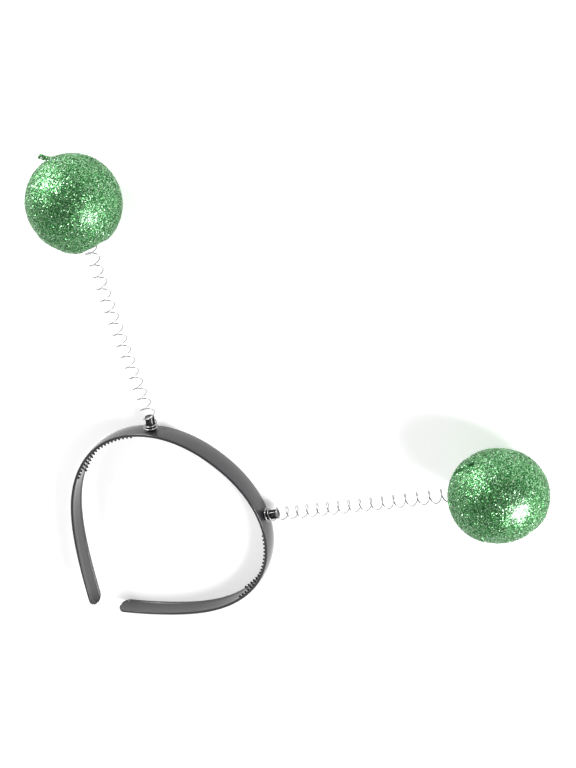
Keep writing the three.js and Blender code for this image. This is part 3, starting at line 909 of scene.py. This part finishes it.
def flake_material(ball):
    """Metallic green glitter: each flake has its own tint, under a film of clear glue."""
    material, tree, shader = new_material(
        "green_glitter", Metallic=0.8, Roughness=0.31, Coat_Roughness=0.24, Coat_IOR=2.0)
    film = add_node(tree, "ShaderNodeAttribute", attribute_name="glue_film")
    smooth = add_node(tree, "ShaderNodeAttribute", attribute_name="ball_normal")
    tree.links.new(film.outputs["Fac"], shader.inputs["Coat Weight"])
    tree.links.new(smooth.outputs["Vector"], shader.inputs["Coat Normal"])
    tint = add_node(tree, "ShaderNodeAttribute", attribute_name="flake_tint")
    ramp = add_node(tree, "ShaderNodeValToRGB", (("Fac", tint.outputs["Fac"]),))
    ramp.color_ramp.elements[0].color = (*ball.dark, 1)
    ramp.color_ramp.elements[1].color = (*ball.light, 1)
    ramp.color_ramp.elements.new(0.6).color = (*ball.middle, 1)
    tree.links.new(ramp.outputs[0], shader.inputs["Base Color"])
    return material


def coat_material(ball):
    """The glossy green coat between the flakes, pitted like dried glue with glitter dust in it."""
    material, tree, shader = new_material("green_base_coat", Metallic=0.35, Roughness=0.42)
    place = add_node(tree, "ShaderNodeTexCoord").outputs["Object"]
    dust = add_node(tree, "ShaderNodeTexVoronoi", (("Vector", place),), Scale=1500.0)
    ramp = add_node(tree, "ShaderNodeValToRGB", (("Fac", dust.outputs["Color"]),))
    ramp.color_ramp.elements[0].color = (*ball.dark, 1)
    ramp.color_ramp.elements[1].color = (*ball.base, 1)
    bump = add_node(tree, "ShaderNodeBump", (("Height", dust.outputs["Distance"]),), Strength=0.5)
    bump.inputs["Distance"].default_value = 0.2 * MM
    tree.links.new(ramp.outputs[0], shader.inputs["Base Color"])
    tree.links.new(bump.outputs[0], shader.inputs["Normal"])
    return material


def shared_surface():
    """The one moulded surface group that every plastic and metal here uses."""
    return bpy.data.node_groups.get("moulded_surface") or moulded_surface()


class HEADBOPPER_OT_headband(bpy.types.Operator):
    """Model the headband: a crowned bar with rails and grip teeth, bent into its hoop"""

    bl_idname = "headbopper.headband"
    bl_label = "Headband"

    def execute(self, context):
        band, peg = context.scene.bopper_band, context.scene.bopper_peg
        bar = straight_bar(band)
        teeth = straight_teeth(band, peg)
        activate(bar)
        teeth.select_set(True)
        bpy.ops.object.join()
        bend_bar(bar, band)
        material = plastic("satin_band", band.tint, 0.32, shared_surface(), 0.5)
        dull_and_shade_teeth(material)
        finish_piece(bar, "headband", material)
        return {"FINISHED"}


class HEADBOPPER_OT_pegs(bpy.types.Operator):
    """Model the two ribbed pegs"""

    bl_idname = "headbopper.pegs"
    bl_label = "Pegs"

    def execute(self, context):
        band, peg = context.scene.bopper_band, context.scene.bopper_peg
        material = plastic("black_peg", peg.tint, 0.38, shared_surface(), 0.3)
        for spring in SPRINGS:
            piece = ribbed_peg("ribbed_peg_" + spring["name"], peg)
            foot, out = peg_frame(band, peg, spring["side"])
            piece.rotation_mode = "QUATERNION"
            piece.rotation_quaternion = UP.rotation_difference(out)
            piece.location = foot
            apply_place(piece)
            finish_piece(piece, "peg_" + spring["name"], material, 25)
        return {"FINISHED"}


class HEADBOPPER_OT_springs(bpy.types.Operator):
    """Wind the two springs of round wire"""

    bl_idname = "headbopper.springs"
    bl_label = "Springs"

    def execute(self, context):
        scene = context.scene
        settings = (scene.bopper_band, scene.bopper_peg, scene.bopper_spring, scene.bopper_ball)
        material = steel("bright_wire", scene.bopper_spring.tint, shared_surface())
        for spring in SPRINGS:
            points = coil_points(settings, spring)
            piece = wire("wire_spring_" + spring["name"], points, scene.bopper_spring.wire_radius)
            finish_piece(piece, "spring_" + spring["name"], material, 60)
        return {"FINISHED"}


class HEADBOPPER_OT_balls(bpy.types.Operator):
    """Model the two foam balls and coat them with glitter"""

    bl_idname = "headbopper.balls"
    bl_label = "Glitter balls"

    def execute(self, context):
        ball = context.scene.bopper_ball
        coat = coat_material(ball)
        flakes = flake_material(ball)
        for seed, spring in enumerate(SPRINGS, start=11):
            node = "ball_" + spring["name"]
            body = foam_ball("foam_" + node, ball, spring)
            finish_piece(body, node, coat, 60)
            loose = glitter("glitter_" + node, body, ball, spring, seed)
            loose.data.materials.append(flakes)
            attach(loose, BODY)
            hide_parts(node)
        return {"FINISHED"}


# The camera of the photograph: its place, the point on the table that it looks at, and its roll.
CAMERA_PLACE = Vector((4.8, 372.5, 468.6)) * MM
CAMERA_AIM = Vector((5.8, 66.7, 0)) * MM
CAMERA_ROLL = math.radians(142.91)
CAMERA_LENS = 47.9

# Softboxes: the directions in which they stand, and their power in watts.
SOFTBOXES = (
    {"name": "softbox_left", "towards": (-0.88, 0.24, 0.37), "power": 8},
    {"name": "softbox_right", "towards": (0.79, 0.32, 0.52), "power": 8.5},
)

# Where the room is darkest: overhead, and a little towards the photograph's upper edge.
DARK_SIDE = Vector((-0.11, 0.24, 0.96))


class HEADBOPPER_OT_stage(bpy.types.Operator):
    """Set up the white table, the soft light and the camera"""

    bl_idname = "headbopper.stage"
    bl_label = "Stage"

    def execute(self, context):
        stage = context.scene.bopper_stage
        make_floor(stage)
        for box in SOFTBOXES:
            make_softbox(stage, box)
        make_surroundings(context.scene)
        make_camera(context.scene)
        return {"FINISHED"}


def make_floor(stage):
    """A white table that shines a little, so that the shadows on it stay pale."""
    bpy.ops.object.select_all(action="DESELECT")
    bpy.ops.mesh.primitive_plane_add(size=6, location=(0, 0, 0))
    floor = added("table")
    material, tree, shader = new_material("white_table", Roughness=0.7, Emission_Strength=0.36)
    for label in ("Base Color", "Emission Color"):
        shader.inputs[label].default_value = (*stage.floor_tint, 1)
    floor.data.materials.append(material)


def make_softbox(stage, box):
    """A square soft light that faces the origin."""
    light = bpy.data.lights.new(box["name"], "AREA")
    light.energy = box["power"]
    light.size = stage.softbox
    lamp = bpy.data.objects.new(box["name"], light)
    towards = Vector(box["towards"]).normalized()
    lamp.location = towards * stage.reach
    lamp.rotation_mode = "QUATERNION"
    lamp.rotation_quaternion = (-towards).to_track_quat("-Z", "Y")
    bpy.context.scene.collection.objects.link(lamp)


def make_surroundings(scene):
    """A white room that is dark overhead."""
    world = bpy.data.worlds.new("white_room")
    world.use_nodes = True
    tree = world.node_tree
    place = add_node(tree, "ShaderNodeTexCoord").outputs["Generated"]
    height = add_node(tree, "ShaderNodeVectorMath", ((0, place),), operation="DOT_PRODUCT")
    height.inputs[1].default_value = DARK_SIDE.normalized()
    ramp = add_node(tree, "ShaderNodeValToRGB", (("Fac", height.outputs["Value"]),))
    ramp.color_ramp.elements[0].position = 0.25
    ramp.color_ramp.elements[0].color = (1, 1, 1, 1)
    ramp.color_ramp.elements[1].position = 0.75
    ramp.color_ramp.elements[1].color = (0.13, 0.13, 0.13, 1)
    tree.links.new(ramp.outputs[0], tree.nodes["Background"].inputs["Color"])
    tree.nodes["Background"].inputs["Strength"].default_value = 1.0
    scene.world = world


def make_camera(scene):
    """The camera of the photograph, with plain view colours."""
    data = bpy.data.cameras.new("camera")
    data.lens = CAMERA_LENS
    data.sensor_width = 36
    camera = bpy.data.objects.new("camera", data)
    camera.location = CAMERA_PLACE
    camera.rotation_mode = "QUATERNION"
    level = (CAMERA_AIM - CAMERA_PLACE).to_track_quat("-Z", "Y")
    camera.rotation_quaternion = level @ Quaternion((0, 0, 1), -CAMERA_ROLL)
    scene.collection.objects.link(camera)
    scene.camera = camera
    scene.view_settings.view_transform = "Standard"


OPERATORS = (
    HEADBOPPER_OT_stage,
    HEADBOPPER_OT_headband,
    HEADBOPPER_OT_pegs,
    HEADBOPPER_OT_springs,
    HEADBOPPER_OT_balls,
)


class HEADBOPPER_PT_panel(bpy.types.Panel):
    """Lists the pieces and their sizes in the sidebar"""

    bl_idname = "HEADBOPPER_PT_panel"
    bl_label = "Head Bopper"
    bl_space_type = "VIEW_3D"
    bl_region_type = "UI"
    bl_category = "Head Bopper"

    def draw(self, context):
        for operator in OPERATORS:
            self.layout.operator(operator.bl_idname)
        for name, group in SETTINGS.items():
            box = self.layout.box()
            for label in group.__annotations__:
                box.prop(getattr(context.scene, name), label)


def register():
    for group in SETTINGS.values():
        bpy.utils.register_class(group)
    for name, group in SETTINGS.items():
        setattr(bpy.types.Scene, name, PointerProperty(type=group))
    for operator in OPERATORS:
        bpy.utils.register_class(operator)
    bpy.utils.register_class(HEADBOPPER_PT_panel)


def unregister():
    bpy.utils.unregister_class(HEADBOPPER_PT_panel)
    for operator in reversed(OPERATORS):
        bpy.utils.unregister_class(operator)
    for name, group in SETTINGS.items():
        delattr(bpy.types.Scene, name)
        bpy.utils.unregister_class(group)


def main():
    register()
    bpy.ops.headbopper.stage()
    bpy.ops.headbopper.headband()
    bpy.ops.headbopper.pegs()
    bpy.ops.headbopper.springs()
    bpy.ops.headbopper.balls()


if __name__ == "__main__":
    main()
